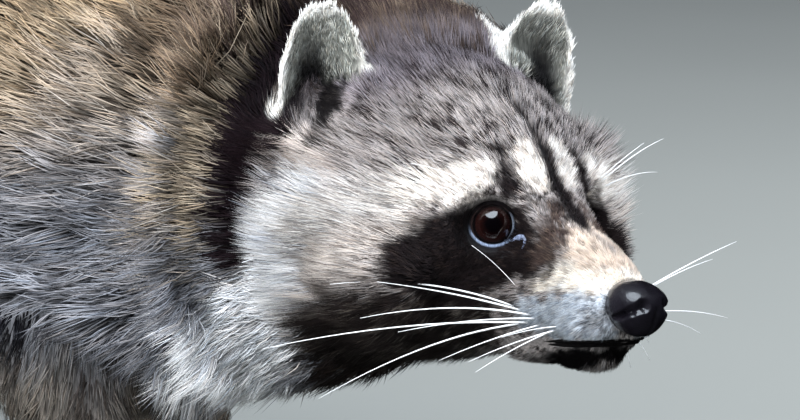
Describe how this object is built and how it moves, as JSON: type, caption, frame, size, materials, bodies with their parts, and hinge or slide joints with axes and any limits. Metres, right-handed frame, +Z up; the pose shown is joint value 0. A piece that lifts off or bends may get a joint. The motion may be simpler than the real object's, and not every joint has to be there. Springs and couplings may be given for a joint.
{
  "type": "raccoon",
  "caption": "Standing raccoon with a masked face turned to its right, rounded ears, hand-like forefeet and a ringed bushy tail.",
  "frame": {"origin": "on the floor, under the middle of the animal's box", "axes": "+X the way the body faces, +Y to the animal's left, +Z up"},
  "size_m": [0.816, 0.2102, 0.3128],
  "materials": {
    "grizzled_coat": "dense grizzled fur, grey-brown with buff and black tips",
    "face_coat": "short fur with a black mask and white brow bands",
    "ear_coat": "short pale fur with white rims",
    "ringed_coat": "bushy fur in buff and black rings",
    "foot_coat": "very short grey fur over dark skin",
    "eye": "wet and glossy, dark brown iris",
    "nose_leather": "moist, finely pebbled",
    "claw_horn": "satin horn"
  },
  "bodies": {
    "root": {"claw_forefoot_left_1": "claw_horn", "claw_forefoot_left_2": "claw_horn", "claw_forefoot_left_3": "claw_horn", "claw_forefoot_left_4": "claw_horn", "claw_forefoot_left_5": "claw_horn", "claw_forefoot_right_1": "claw_horn", "claw_forefoot_right_2": "claw_horn", "claw_forefoot_right_3": "claw_horn", "claw_forefoot_right_4": "claw_horn", "claw_forefoot_right_5": "claw_horn", "claw_hindfoot_left_1": "claw_horn", "claw_hindfoot_left_2": "claw_horn", "claw_hindfoot_left_3": "claw_horn", "claw_hindfoot_left_4": "claw_horn", "claw_hindfoot_left_5": "claw_horn", "claw_hindfoot_right_1": "claw_horn", "claw_hindfoot_right_2": "claw_horn", "claw_hindfoot_right_3": "claw_horn", "claw_hindfoot_right_4": "claw_horn", "claw_hindfoot_right_5": "claw_horn", "ear_left": "ear_coat", "ear_right": "ear_coat", "eye_left": "eye", "eye_right": "eye", "forefoot_left": "foot_coat", "forefoot_right": "foot_coat", "foreleg_left": "grizzled_coat", "foreleg_right": "grizzled_coat", "head": "face_coat", "hindfoot_left": "foot_coat", "hindfoot_right": "foot_coat", "hindleg_left": "grizzled_coat", "hindleg_right": "grizzled_coat", "lower_jaw": "face_coat", "neck": "grizzled_coat", "nose_pad": "nose_leather", "tail": "ringed_coat", "trunk": "grizzled_coat"}
  },
  "joints": []
}
